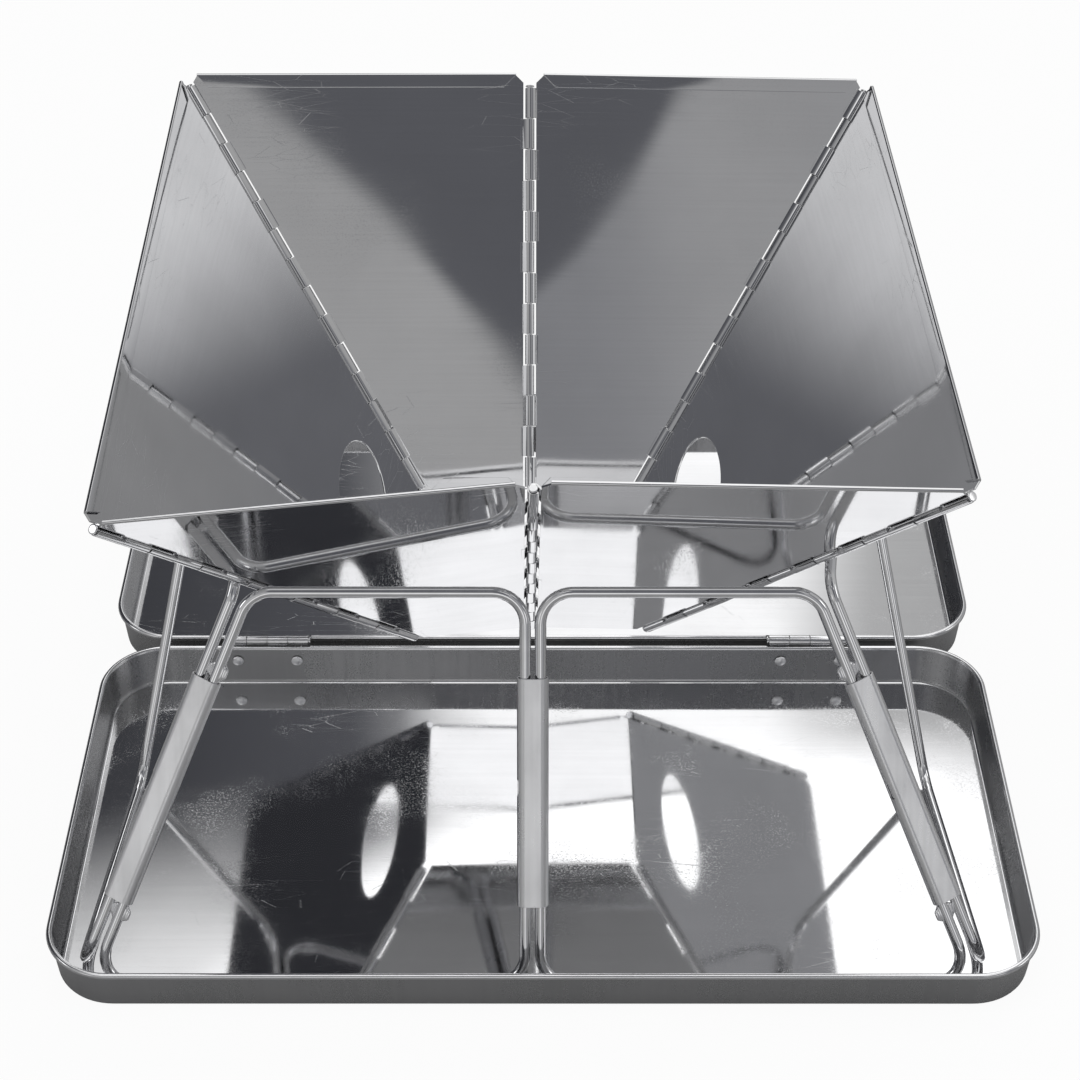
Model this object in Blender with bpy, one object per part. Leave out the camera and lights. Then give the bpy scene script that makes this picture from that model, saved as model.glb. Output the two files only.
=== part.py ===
# Folding charcoal grill, open for use, in metres with Z up and the front towards -Y.
# The origin is the centre of the base tray's underside.

import math

import bmesh
import bpy
from mathutils import Matrix, Vector

# Case: two equal pressed trays, joined rim to rim
case_width = 0.350
case_depth = 0.180
case_height = 0.0175
case_corner_radius = 0.025
tray_sheet = 0.0008
tray_taper = 0.0012
tray_floor_radius = 0.0018
rim_bead_radius = 0.0011
rim_gap = 0.0047
closed_rim_gap = 0.0003

# Rim hinges
rim_hinge_length = 0.0332
rim_hinge_offset_share = 0.3129
rim_hinge_shift = -0.0015
rim_hinge_drop = 0.0095
rim_hinge_sheet = 0.0008
rim_hinge_neck = 0.0007
rim_neck_step = 0.0002
rim_knuckle_radius = 0.0021
rim_knuckle_count = 4
rim_pin_radius = 0.0010
rim_cut_margin = 0.0008
rim_cut_depth = 0.0030
rivet_radius = 0.0011
rivet_head_radius = 0.0023
rivet_head_height = 0.0009
rivet_dome_shares = ((0.55, 1.0), (0.90, 0.60))
rivet_tail_shares = (0.85, 0.50)
rivet_spacing = 0.0238
rivet_drop = 0.0062

# Firebox: an upside-down pyramid of six hinged panels, whose hinge lines all meet at one apex
apex_height = 0.0022
apex_back = 0.0892
firebox_offset = -0.0053
side_edge_angle = math.radians(31.5)
half_edge_angle = math.radians(30.1)
corner_reach = 0.2762
corner_start = 0.0864
panel_sheet = 0.0008
panel_setback = 0.0026
panel_knuckle_radius = 0.0021
panel_knuckle_wall = 0.0008
panel_pin_radius = 0.0010
loose_knuckle_wall = 0.0006
loose_pin_radius = 0.0008
bore_overrun = 0.0300
panel_knuckle_inset = 0.0016
panel_tongue_end = 0.0005
panel_rim_rise = 0.0042
panel_corner_cut = 0.0040
corner_knuckle_count = 14
centre_knuckle_count = 13
hem_width = 0.0048
hem_sheet = 0.0008
hem_end_inset = 0.0045
hem_step = 0.0003
vent_up = 0.110
vent_back = 0.003
vent_half_length = 0.033
vent_half_width = 0.0145
left_panel_lean = math.radians(35.6)
left_panel_dip = math.radians(2.2)
left_panel_turn = math.radians(-0.8)
right_panel_lean = math.radians(36.2)
right_panel_dip = math.radians(-0.9)
right_panel_turn = math.radians(0.0)

# Stand: wire frames that lean back, held in pairs by sheet sleeves
stand_offset = -0.0036
wire_radius = 0.0020
wire_pitch = 0.0053
stand_foot_y = -0.0800
stand_top_y = -0.0205
stand_rise = 0.1280
front_foot_width = 0.1522
front_top_width = 0.0935
front_bend_radius = 0.0110
side_foot_length = 0.1035
side_foot_in = 0.0090
side_top_length = 0.1160
side_top_rise = 0.0260
side_leg_turn = math.radians(19.3)
side_bend_radius = 0.0110
sleeve_sheet = 0.0007
sleeve_seam = 0.0020
centre_sleeve_start = 0.0292
centre_sleeve_length = 0.0821
corner_sleeve_start = 0.0330
corner_sleeve_length = 0.0860
ear_width = 0.0068
ear_thickness = 0.0026
ear_length = 0.0062
ear_gap = 0.0040

# Fits
touch_gap = 0.0003
turning_gap = 0.0003
knuckle_gap = 0.0003
pin_head_extra = 0.0007
pin_head_height = 0.0006
foot_gap = 0.0003

# Smoothness
round_steps = 8
small_round_steps = 8
floor_steps = 2
bead_steps = 5
corner_steps = 7
bend_steps = 6
vent_steps = 24
ear_steps = 8
wire_resolution = 2
overlap_share = 0.5
smooth_limit = math.radians(35)
case_smooth_limit = math.radians(40)
wire_smooth_limit = math.radians(50)


def clear_scene():
    for old in list(bpy.data.objects):
        bpy.data.objects.remove(old, do_unlink=True)


def make_material(name, color, roughness, metallic=1.0):
    material = bpy.data.materials.new(name)
    material.use_nodes = True
    shader = material.node_tree.nodes["Principled BSDF"]
    shader.inputs["Base Color"].default_value = (*color, 1.0)
    shader.inputs["Roughness"].default_value = roughness
    shader.inputs["Metallic"].default_value = metallic
    return material


def object_from(name, bm, material=None):
    """A mesh object made from a bmesh, with its faces turned outwards."""
    bmesh.ops.recalc_face_normals(bm, faces=bm.faces)
    mesh = bpy.data.meshes.new(name)
    bm.to_mesh(mesh)
    bm.free()
    if material:
        mesh.materials.append(material)
    obj = bpy.data.objects.new(name, mesh)
    bpy.context.scene.collection.objects.link(obj)
    return obj


def shade_round(obj, limit=smooth_limit):
    obj.data.shade_smooth()
    obj.data.set_sharp_from_angle(angle=limit)


def hide_tool(obj):
    obj.hide_render = True
    obj.display_type = "WIRE"


def apply_boolean(obj, tool, operation):
    modifier = obj.modifiers.new(operation, "BOOLEAN")
    modifier.operation = operation
    modifier.solver = "EXACT"
    modifier.object = tool
    hide_tool(tool)


def bridge_rings(bm, rings, capped=True):
    """Joins rings of points with the same count into one closed skin."""
    rows = [[bm.verts.new(point) for point in ring] for ring in rings]
    count = len(rows[0])
    for lower, upper in zip(rows, rows[1:]):
        for i in range(count):
            j = (i + 1) % count
            bm.faces.new((lower[i], lower[j], upper[j], upper[i]))
    if capped:
        bm.faces.new(rows[0])
        bm.faces.new(rows[-1])


def add_prism(bm, outline, direction, depth, start=0.0):
    """Adds a closed prism: a flat outline of 3D points swept along a direction."""
    direction = Vector(direction).normalized()
    rings = [[Vector(p) + direction * d for p in outline] for d in (start, start + depth)]
    bridge_rings(bm, rings)


def add_lathe(bm, profile, matrix, steps):
    """Adds a round solid from (radius, height) points about the local Z axis, with flat ends."""
    rings = []
    for radius, height in profile:
        ring = []
        for i in range(steps):
            turn = 2 * math.pi * i / steps
            ring.append(matrix @ Vector((radius * math.cos(turn), radius * math.sin(turn), height)))
        rings.append(ring)
    bridge_rings(bm, rings)


def frame_along(origin, direction, toward):
    """A matrix whose Z runs along direction and whose X points as near toward as it can."""
    z = Vector(direction).normalized()
    x = Vector(toward)
    x = (x - z * x.dot(z)).normalized()
    y = z.cross(x)
    matrix = Matrix((x, y, z)).transposed().to_4x4()
    matrix.translation = Vector(origin)
    return matrix


# Case


def tray_ring(inset, height):
    """One level of a tray: a rectangle with round corners, set in from the outermost line."""
    half_x = case_width / 2 - inset
    half_y = case_depth / 2 - inset
    radius = case_corner_radius - inset
    points = []
    for quarter in range(4):
        turn = quarter * math.pi / 2
        side_x = 1 if quarter in (0, 3) else -1
        side_y = 1 if quarter in (0, 1) else -1
        centre_x = side_x * (half_x - radius)
        centre_y = side_y * (half_y - radius)
        for i in range(corner_steps + 1):
            angle = turn + math.pi / 2 * i / corner_steps
            points.append(
                (centre_x + radius * math.cos(angle), centre_y + radius * math.sin(angle), height)
            )
    return points


def wall_inset(height):
    """How far in from the outermost line a tray wall's outer face is at a height."""
    top = 2 * rim_bead_radius - tray_sheet
    return top + tray_taper * (1 - height / case_height)


def tray_profile():
    """(inset, height) from the underside, up the outer face, round the bead and down the inside."""
    floor_outer = wall_inset(0)
    points = []
    for i in range(floor_steps + 1):
        angle = math.pi / 2 * i / floor_steps
        points.append(
            (
                floor_outer + tray_floor_radius * (1 - math.sin(angle)),
                tray_floor_radius * (1 - math.cos(angle)),
            )
        )
    bead_height = case_height - rim_bead_radius
    points.append((wall_inset(bead_height), bead_height - rim_bead_radius - tray_sheet))
    for i in range(bead_steps + 1):
        angle = math.pi * i / bead_steps
        points.append(
            (
                rim_bead_radius - rim_bead_radius * math.sin(angle),
                bead_height - rim_bead_radius * math.cos(angle),
            )
        )
    points.append((2 * rim_bead_radius, bead_height))
    inner_radius = tray_floor_radius - tray_sheet * overlap_share
    inner_floor = floor_outer + tray_sheet
    for i in range(floor_steps + 1):
        angle = math.pi / 2 * i / floor_steps
        points.append(
            (
                inner_floor + inner_radius * (1 - math.cos(angle)),
                tray_sheet + inner_radius * (1 - math.sin(angle)),
            )
        )
    return points


def rim_axis():
    """The point midway between the rims that the lid turns about."""
    return Vector((0, case_depth / 2 + rim_gap / 2, case_height + closed_rim_gap / 2))


def rim_hinge_centers():
    offset = case_width * rim_hinge_offset_share
    return (("left", rim_hinge_shift - offset), ("right", rim_hinge_shift + offset))


def rivet_places(center):
    return (("outer", center - rivet_spacing / 2), ("inner", center + rivet_spacing / 2))


def make_tray(name, side, centre, origin, material):
    """A tray whose hinged wall faces side (1 is +Y). The rim bead is cut away behind each hinge."""
    shift = Vector(centre) - Vector(origin)
    bm = bmesh.new()
    bridge_rings(bm, [tray_ring(inset, height) for inset, height in tray_profile()])
    bmesh.ops.translate(bm, vec=shift, verts=bm.verts)
    tray = object_from(name, bm, material)
    tray.location = origin

    bm = bmesh.new()
    wall_line = case_depth / 2 - wall_inset(case_height)
    for _, center in rim_hinge_centers():
        half = rim_hinge_length / 2 + rim_cut_margin
        outline = [
            (center - half, side * wall_line, case_height - rim_cut_depth),
            (center + half, side * wall_line, case_height - rim_cut_depth),
            (center + half, side * wall_line, case_height + rim_cut_depth),
            (center - half, side * wall_line, case_height + rim_cut_depth),
        ]
        add_prism(bm, outline, (0, side, 0), rim_cut_depth)
        for _, x in rivet_places(center):
            start = (x, side * (case_depth / 2 - rim_cut_depth * 2), case_height - rivet_drop)
            hole = frame_along(start, (0, side, 0), (1, 0, 0))
            radius = rivet_radius + turning_gap
            add_lathe(bm, [(radius, 0), (radius, rim_cut_depth * 2)], hole, small_round_steps)
    bmesh.ops.translate(bm, vec=shift, verts=bm.verts)
    cutter = object_from(name + "_cutter", bm)
    cutter.location = origin
    apply_boolean(tray, cutter, "DIFFERENCE")
    shade_round(tray, case_smooth_limit)
    return tray


def leaf_sections(side):
    """Sections in (y, z) about the hinge axis of a leaf's plate, on the wall, and of its neck."""
    axis = rim_axis()
    near = axis.y - (case_depth / 2 - wall_inset(case_height - rim_cut_depth)) - touch_gap
    low = case_height - rim_hinge_drop
    far = axis.y - (case_depth / 2 - wall_inset(low)) - touch_gap
    neck_low = -rim_knuckle_radius + rim_neck_step
    neck_top = neck_low + rim_hinge_neck
    plate = [
        (near, neck_top - rim_neck_step),
        (far, low - axis.z),
        (far - rim_hinge_sheet, low - axis.z),
        (near - rim_hinge_sheet, neck_top - rim_neck_step),
    ]
    middle = near - rim_hinge_sheet * overlap_share
    end = -rim_neck_step
    neck = [(middle, neck_top), (middle, neck_low), (end, neck_low), (end, neck_top)]
    return [[(-side * y, z) for y, z in points] for points in (plate, neck)]


def knuckle_spans(start, end, count):
    pitch = (end - start) / count
    return [
        (start + i * pitch + knuckle_gap / 2, start + (i + 1) * pitch - knuckle_gap / 2)
        for i in range(count)
    ]


def make_rim_leaf(name, center, side, material):
    """One leaf of a rim hinge. Its origin is on the hinge axis."""
    axis = rim_axis()
    half = rim_hinge_length / 2
    spans = knuckle_spans(-half, half, rim_knuckle_count)
    own = spans[0::2] if side > 0 else spans[1::2]
    plate, neck = leaf_sections(side)

    bm = bmesh.new()
    add_prism(bm, [(-half, y, z) for y, z in plate], (1, 0, 0), rim_hinge_length)
    leaf = object_from(name, bm, material)
    leaf.location = (center, axis.y, axis.z)

    along = Matrix.Rotation(math.pi / 2, 4, "Y")
    for i, (low, high) in enumerate(own):
        bm = bmesh.new()
        outline = [(low + turning_gap, y, z) for y, z in neck]
        add_prism(bm, outline, (1, 0, 0), high - low - 2 * turning_gap)
        tongue = object_from(f"{name}_neck_{i}", bm)
        tongue.location = leaf.location
        apply_boolean(leaf, tongue, "UNION")
        bm = bmesh.new()
        profile = [(rim_knuckle_radius, low), (rim_knuckle_radius, high)]
        add_lathe(bm, profile, along, round_steps)
        knuckle = object_from(f"{name}_knuckle_{i}", bm)
        knuckle.location = leaf.location
        apply_boolean(leaf, knuckle, "UNION")

    bm = bmesh.new()
    bore = rim_pin_radius + turning_gap
    add_lathe(bm, [(bore, -rim_hinge_length), (bore, rim_hinge_length)], along, round_steps)
    for _, x in rivet_places(0):
        start = (x, -side * rim_gap, case_height - rivet_drop - axis.z)
        hole = frame_along(start, (0, side, 0), (1, 0, 0))
        radius = rivet_radius + turning_gap
        add_lathe(bm, [(radius, 0), (radius, rim_gap)], hole, small_round_steps)
    cutter = object_from(name + "_cutter", bm)
    cutter.location = leaf.location
    apply_boolean(leaf, cutter, "DIFFERENCE")
    shade_round(leaf)
    return leaf


def pin_profile(radius, low, high):
    """A plain pin with a flat round head beyond each end of its knuckles."""
    head = radius + pin_head_extra
    return [
        (head, low - touch_gap - pin_head_height),
        (head, low - touch_gap),
        (radius, low - touch_gap),
        (radius, high + touch_gap),
        (head, high + touch_gap),
        (head, high + touch_gap + pin_head_height),
    ]


def make_rim_pin(name, center, material):
    half = rim_hinge_length / 2
    bm = bmesh.new()
    along = Matrix.Rotation(math.pi / 2, 4, "Y")
    add_lathe(bm, pin_profile(rim_pin_radius, -half, half), along, small_round_steps)
    pin = object_from(name, bm, material)
    pin.location = (center, rim_axis().y, rim_axis().z)
    shade_round(pin)
    return pin


def make_rivet(name, x, side, material):
    """A rivet through a tray wall and a hinge leaf, with a domed head inside the tray."""
    axis = rim_axis()
    height = case_height - rivet_drop
    wall_outer = case_depth / 2 - wall_inset(height)
    grip_low = -tray_sheet - touch_gap
    grip_high = touch_gap + rim_hinge_sheet + touch_gap * 2
    tail_radius = rivet_head_radius * rivet_tail_shares[0]
    tail_height = rivet_head_height * rivet_tail_shares[1]
    profile = [
        (rivet_head_radius * wide, grip_low - rivet_head_height * tall)
        for wide, tall in rivet_dome_shares
    ]
    profile += [
        (rivet_head_radius, grip_low),
        (rivet_radius, grip_low),
        (rivet_radius, grip_high),
        (tail_radius, grip_high),
        (tail_radius, grip_high + tail_height),
    ]
    wall_y = wall_outer if side > 0 else 2 * axis.y - wall_outer
    bm = bmesh.new()
    place = frame_along((0, 0, 0), (0, side, 0), (1, 0, 0))
    add_lathe(bm, profile, place, small_round_steps)
    rivet = object_from(name, bm, material)
    rivet.location = (x, wall_y, height)
    shade_round(rivet)
    return rivet


def make_case(steel, bright):
    make_tray("base_tray", 1, (0, 0, 0), (0, 0, 0), steel)
    make_tray("lid_tray", -1, (0, case_depth + rim_gap, 0), rim_axis(), steel)
    for place, center in rim_hinge_centers():
        make_rim_leaf(f"{place}_rim_hinge_base_leaf", center, 1, bright)
        make_rim_leaf(f"{place}_rim_hinge_lid_leaf", center, -1, bright)
        make_rim_pin(f"{place}_rim_hinge_pin", center, bright)
        for spot, x in rivet_places(center):
            make_rivet(f"{place}_base_rivet_{spot}", x, 1, bright)
            make_rivet(f"{place}_lid_rivet_{spot}", x, -1, bright)


# Firebox


def side_directions(lean, dip, turn, side):
    """Front and rear corner directions of a side panel, from the apex. side is -1 for the left."""
    pose = (
        Matrix.Rotation(turn, 3, "Z")
        @ Matrix.Rotation(side * lean, 3, "Y")
        @ Matrix.Rotation(dip, 3, "X")
    )
    front = pose @ Vector((0, -math.sin(side_edge_angle), math.cos(side_edge_angle)))
    rear = pose @ Vector((0, math.sin(side_edge_angle), math.cos(side_edge_angle)))
    return front, rear


def centre_direction(left, right, inward):
    """The centre hinge line: at the half panels' edge angle from both corners, bent inwards."""
    middle = left + right
    scale = math.cos(half_edge_angle) / (1 + left.dot(right))
    across = left.cross(right).normalized()
    rise = math.sqrt(max(0.0, 1 - scale * scale * middle.length_squared))
    if across.dot(inward) < 0:
        across = -across
    return (middle * scale + across * rise).normalized()


def hinge_directions():
    left_front, left_rear = side_directions(left_panel_lean, left_panel_dip, left_panel_turn, -1)
    right_front, right_rear = side_directions(right_panel_lean, right_panel_dip, right_panel_turn, 1)
    return {
        "front_left": left_front,
        "rear_left": left_rear,
        "front_right": right_front,
        "rear_right": right_rear,
        "front_centre": centre_direction(left_front, right_front, Vector((0, 1, 0))),
        "rear_centre": centre_direction(left_rear, right_rear, Vector((0, -1, 0))),
    }


def firebox_apex():
    return Vector((firebox_offset, apex_back, apex_height))


def hinge_span(hinge):
    """Where the knuckles of a hinge line start and end, as distances from the apex."""
    share = math.cos(half_edge_angle) if "centre" in hinge else 1.0
    low = corner_start * share + panel_knuckle_inset
    high = corner_reach * share - panel_knuckle_inset
    return low, high


def hinge_knuckles(hinge, first):
    low, high = hinge_span(hinge)
    count = centre_knuckle_count if "centre" in hinge else corner_knuckle_count
    return knuckle_spans(low, high, count)[0 if first else 1 :: 2]


def edge_points(angle, side, own, low, high):
    """Outline points up one hinged edge: set back from the hinge, with a tongue at each own knuckle."""
    along = Vector((math.sin(angle), 0, math.cos(angle)))
    inwards = Vector((-side * math.cos(angle), 0, side * math.sin(angle)))

    def at_height(height):
        return (height - panel_setback * inwards.z) / along.z

    points = [along * at_height(low) + inwards * panel_setback]
    for start, end in own:
        a, b = start + turning_gap, end - turning_gap
        for distance, offset in (
            (a, panel_setback),
            (a, panel_tongue_end),
            (b, panel_tongue_end),
            (b, panel_setback),
        ):
            points.append(along * distance + inwards * offset)
    points.append(along * at_height(high - panel_corner_cut) + inwards * panel_setback)
    points.append(along * at_height(high) + inwards * (panel_setback + panel_corner_cut))
    return points


def hem_outline(angles, free, folded):
    """A hem strip between its folded edge and its free edge, with ends cut at 45 degrees."""
    points = []
    for height, extra, order in ((folded, 0, (0, 1)), (free, hem_width, (1, 0))):
        for i in order:
            side = 1 if i else -1
            x = math.tan(angles[i]) * height - side * (hem_end_inset + extra)
            points.append((x, 0, height))
    return points


def make_panel(name, edges, heights, vent, hemmed_foot, material):
    """A sheet panel between two hinge lines.

    edges holds (hinge, direction, angle, side, owns first knuckle) for the -X and the +X edge,
    with the panel's own Z towards the middle of its top edge and its origin on the apex.
    vent is 1 or -1 for a panel with a vent, for the X direction that is its rear, or else 0.
    """
    low, high = heights
    left, right = edges
    toward = right[1] if abs(right[2]) > abs(left[2]) else -left[1]
    if abs(right[2]) == abs(left[2]):
        up = left[1] + right[1]
    else:
        up = left[1] if left[2] == 0 else right[1]
    place = frame_along(firebox_apex(), up, toward)
    inner = 1 if place.col[1].z > 0 else -1

    spans = {}
    for hinge, _, angle, side, first in edges:
        spans[hinge] = hinge_knuckles(hinge, first)

    outline = edge_points(left[2], -1, spans[left[0]], low, high)
    outline += reversed(edge_points(right[2], 1, spans[right[0]], low, high))
    bm = bmesh.new()
    add_prism(bm, outline, (0, 1, 0), panel_sheet, -panel_sheet / 2)
    panel = object_from(name, bm, material)
    panel.matrix_world = place

    angles = (left[2], right[2])
    start = -panel_sheet * overlap_share * overlap_share
    depth = panel_sheet * overlap_share + hem_sheet - start
    strips = [(high - hem_width, high - hem_step)]
    if hemmed_foot:
        strips.append((low + hem_width, low + hem_step))
    bm = bmesh.new()
    for free, folded in strips:
        add_prism(bm, hem_outline(angles, free, folded), (0, inner, 0), depth, start)
    hem = object_from(name + "_hem", bm)
    hem.matrix_world = place
    apply_boolean(panel, hem, "UNION")

    knuckles = bmesh.new()
    bores = bmesh.new()
    for hinge, _, angle, side, first in edges:
        along = Vector((math.sin(angle), 0, math.cos(angle)))
        axis = frame_along((0, 0, 0), along, (0, 1, 0))
        for start, end in spans[hinge]:
            profile = [(panel_knuckle_radius, start), (panel_knuckle_radius, end)]
            add_lathe(knuckles, profile, axis, round_steps)
        wall = loose_knuckle_wall if (hinge, first) == ("front_centre", False) else panel_knuckle_wall
        bore = panel_knuckle_radius - wall
        low_end, high_end = hinge_span(hinge)
        profile = [(bore, low_end - bore_overrun), (bore, high_end + bore_overrun)]
        add_lathe(bores, profile, axis, round_steps)
    knuckle_tool = object_from(name + "_knuckles", knuckles)
    knuckle_tool.matrix_world = place
    apply_boolean(panel, knuckle_tool, "UNION")
    bore_tool = object_from(name + "_bores", bores)
    bore_tool.matrix_world = place
    apply_boolean(panel, bore_tool, "DIFFERENCE")

    if vent:
        bm = bmesh.new()
        outline = []
        for i in range(vent_steps):
            angle = 2 * math.pi * i / vent_steps
            x = vent * vent_back + vent_half_length * math.cos(angle)
            outline.append((x, 0, vent_up + vent_half_width * math.sin(angle)))
        add_prism(bm, outline, (0, 1, 0), hem_width, -hem_width / 2)
        hole = object_from(name + "_vent", bm)
        hole.matrix_world = place
        apply_boolean(panel, hole, "DIFFERENCE")
    shade_round(panel)
    return panel


def make_panel_pin(name, hinge, direction, material):
    low, high = hinge_span(hinge)
    radius = loose_pin_radius if hinge == "front_centre" else panel_pin_radius
    bm = bmesh.new()
    add_lathe(bm, pin_profile(radius, low, high), Matrix(), small_round_steps)
    pin = object_from(name, bm, material)
    pin.matrix_world = frame_along(firebox_apex(), direction, (1, 0, 0))
    shade_round(pin)
    return pin


def make_firebox(steel, bright):
    lines = hinge_directions()
    a, b = side_edge_angle, half_edge_angle
    side_heights = (corner_start * math.cos(a), corner_reach * math.cos(a) + panel_rim_rise)
    half_heights = (corner_start * math.cos(b), corner_reach * math.cos(b) + panel_rim_rise)

    def edge(hinge, angle, side, first):
        return (hinge, lines[hinge], angle, side, first)

    sides = (
        ("left_panel", edge("front_left", -a, -1, True), edge("rear_left", a, 1, True), 1),
        ("right_panel", edge("rear_right", -a, -1, True), edge("front_right", a, 1, True), -1),
    )
    for name, first, second, vent in sides:
        make_panel(name, (first, second), side_heights, vent, False, steel)
    for end in ("rear", "front"):
        outer = edge(f"{end}_left", -b, -1, False)
        inner = edge(f"{end}_centre", 0, 1, False)
        make_panel(f"{end}_left_panel", (outer, inner), half_heights, 0, end == "rear", steel)
        inner = edge(f"{end}_centre", 0, -1, True)
        outer = edge(f"{end}_right", b, 1, False)
        make_panel(f"{end}_right_panel", (inner, outer), half_heights, 0, end == "rear", steel)
    for hinge, direction in lines.items():
        make_panel_pin(f"{hinge}_pin", hinge, direction, bright)


# Stand


def stand_floor():
    return tray_sheet + foot_gap + wire_radius


def leg_lines():
    """Foot and top of the front frames' legs and of the side frames' front legs, left half only."""
    floor = stand_floor()
    top = floor + stand_rise
    inner_x = wire_pitch / 2
    foot = Vector((-inner_x, stand_foot_y, floor))
    head = Vector((-inner_x, stand_top_y, top))
    outer_foot = Vector((-inner_x - front_foot_width, stand_foot_y, floor))
    outer_head = Vector((-inner_x - front_top_width, stand_top_y, top))
    along = (outer_head - outer_foot).normalized()
    apart = Matrix.Rotation(-side_leg_turn, 3, "Z") @ Vector((-1, 0, 0))
    apart = (apart - along * apart.dot(along)).normalized() * wire_pitch
    return foot, head, outer_foot, outer_head, apart


def mirrored(point, side):
    """A point of the left half, put on the left (-1) or the right (1) of the stand's middle."""
    return Vector((-side * point.x + stand_offset, point.y, point.z))


def round_corners(points, radius):
    """A closed path through the points, with an arc of the radius at each."""
    path = []
    count = len(points)
    for i, corner in enumerate(points):
        back = (points[i - 1] - corner).normalized()
        ahead = (points[(i + 1) % count] - corner).normalized()
        half = back.angle(ahead) / 2
        reach = radius / math.tan(half)
        middle = (back + ahead).normalized()
        center = corner + middle * (radius / math.sin(half))
        start = corner + back * reach - center
        end = corner + ahead * reach - center
        sweep = start.angle(end)
        for k in range(bend_steps + 1):
            share = k / bend_steps
            a = math.sin((1 - share) * sweep) / math.sin(sweep)
            b = math.sin(share * sweep) / math.sin(sweep)
            path.append(center + start * a + end * b)
    return path


def make_wire_frame(name, corners, radius, origin, material):
    """A closed loop of round wire, with its origin on the axis that it turns about."""
    path = round_corners(corners, radius)
    curve = bpy.data.curves.new(name + "_path", "CURVE")
    curve.dimensions = "3D"
    curve.bevel_depth = wire_radius
    curve.bevel_resolution = wire_resolution
    curve.use_fill_caps = False
    spline = curve.splines.new("POLY")
    spline.points.add(len(path) - 1)
    for point, place in zip(spline.points, path):
        point.co = (*(place - origin), 1)
    spline.use_cyclic_u = True
    guide = bpy.data.objects.new(name + "_path", curve)
    bpy.context.scene.collection.objects.link(guide)
    bpy.context.view_layer.update()
    graph = bpy.context.evaluated_depsgraph_get()
    mesh = bpy.data.meshes.new_from_object(guide.evaluated_get(graph))
    bpy.data.objects.remove(guide, do_unlink=True)
    bm = bmesh.new()
    bm.from_mesh(mesh)
    bpy.data.meshes.remove(mesh)
    frame = object_from(name, bm, material)
    frame.location = origin
    return frame


def panel_rest(side, near):
    """The point at near's Y and Z where a wire's middle lies against a side panel's outer face."""
    lines = hinge_directions()
    front, rear = ("front_left", "rear_left") if side < 0 else ("front_right", "rear_right")
    normal = lines[front].cross(lines[rear]).normalized()
    if normal.z > 0:
        normal = -normal
    offset = panel_sheet / 2 + touch_gap + wire_radius
    apex = firebox_apex()
    x = (offset + normal.dot(apex) - normal.y * near.y - normal.z * near.z) / normal.x
    return Vector((x, near.y, near.z))


def add_ears(frame, origin, foot, along, out, distances):
    """Crimped ears on a leg, which keep the sleeve between them."""
    for i, distance in enumerate(distances):
        bm = bmesh.new()
        bmesh.ops.create_uvsphere(bm, u_segments=ear_steps, v_segments=ear_steps // 2 + 1, radius=1)
        bmesh.ops.scale(bm, vec=(ear_width / 2, ear_thickness / 2, ear_length / 2), verts=bm.verts)
        ear = object_from(f"{frame.name}_ear_{i}", bm)
        ear.matrix_world = frame_along(foot + along * distance, along, out)
        apply_boolean(frame, ear, "UNION")


def make_sleeve(name, foot, along, apart, start, length, material):
    """A sheet wrapped round two legs, open along a seam in one flat side. Its origin is on the first leg."""

    def wrap(radius):
        """One face of the sheet: half round the far leg, then half round the first one."""
        points = [((wire_pitch + sleeve_seam) / 2, radius)]
        for centre, first in ((wire_pitch, math.pi / 2), (0, -math.pi / 2)):
            for i in range(bend_steps + 1):
                angle = first - math.pi * i / bend_steps
                points.append((centre + radius * math.cos(angle), radius * math.sin(angle)))
        points.append(((wire_pitch - sleeve_seam) / 2, radius))
        return points

    inner = wire_radius + turning_gap
    outline = [Vector((x, y, 0)) for x, y in wrap(inner + sleeve_sheet) + wrap(inner)[::-1]]
    bm = bmesh.new()
    add_prism(bm, outline, (0, 0, 1), length, start)
    sleeve = object_from(name, bm, material)
    sleeve.matrix_world = frame_along(foot, along, apart)
    shade_round(sleeve)
    return sleeve


def make_stand(steel, satin):
    foot, head, outer_foot, outer_head, apart = leg_lines()
    along = (outer_head - outer_foot).normalized()
    inner_along = (head - foot).normalized()
    across = Vector((wire_pitch, 0, 0))
    make_sleeve(
        "centre_sleeve", mirrored(foot, -1), inner_along, across,
        centre_sleeve_start, centre_sleeve_length, satin,
    )
    for place, side in (("left", -1), ("right", 1)):
        front = [mirrored(p, side) for p in (foot, outer_foot, outer_head, head)]
        frame = make_wire_frame(f"front_{place}_frame", front, front_bend_radius, front[0], steel)
        up = (front[2] - front[1]).normalized()
        spread = mirrored(apart, side) - mirrored(Vector((0, 0, 0)), side)
        ears = (corner_sleeve_start - ear_gap, corner_sleeve_start + corner_sleeve_length + ear_gap)
        add_ears(frame, front[0], front[1], up, -spread, ears)
        shade_round(frame, wire_smooth_limit)

        near_foot = outer_foot + apart
        near_head = outer_head + apart
        near_foot = near_foot - along * (near_foot.z - stand_floor()) / along.z
        far_foot = near_foot + Vector((side_foot_in, side_foot_length, 0))
        loop = [mirrored(p, side) for p in (near_foot, far_foot, near_head, near_head)]
        loop[2] = panel_rest(side, loop[3] + Vector((0, side_top_length, side_top_rise)))
        side_frame = make_wire_frame(f"{place}_side_frame", loop, side_bend_radius, loop[0], steel)
        shade_round(side_frame, wire_smooth_limit)
        make_sleeve(
            f"{place}_corner_sleeve", front[1], up, spread,
            corner_sleeve_start, corner_sleeve_length, satin,
        )


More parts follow.
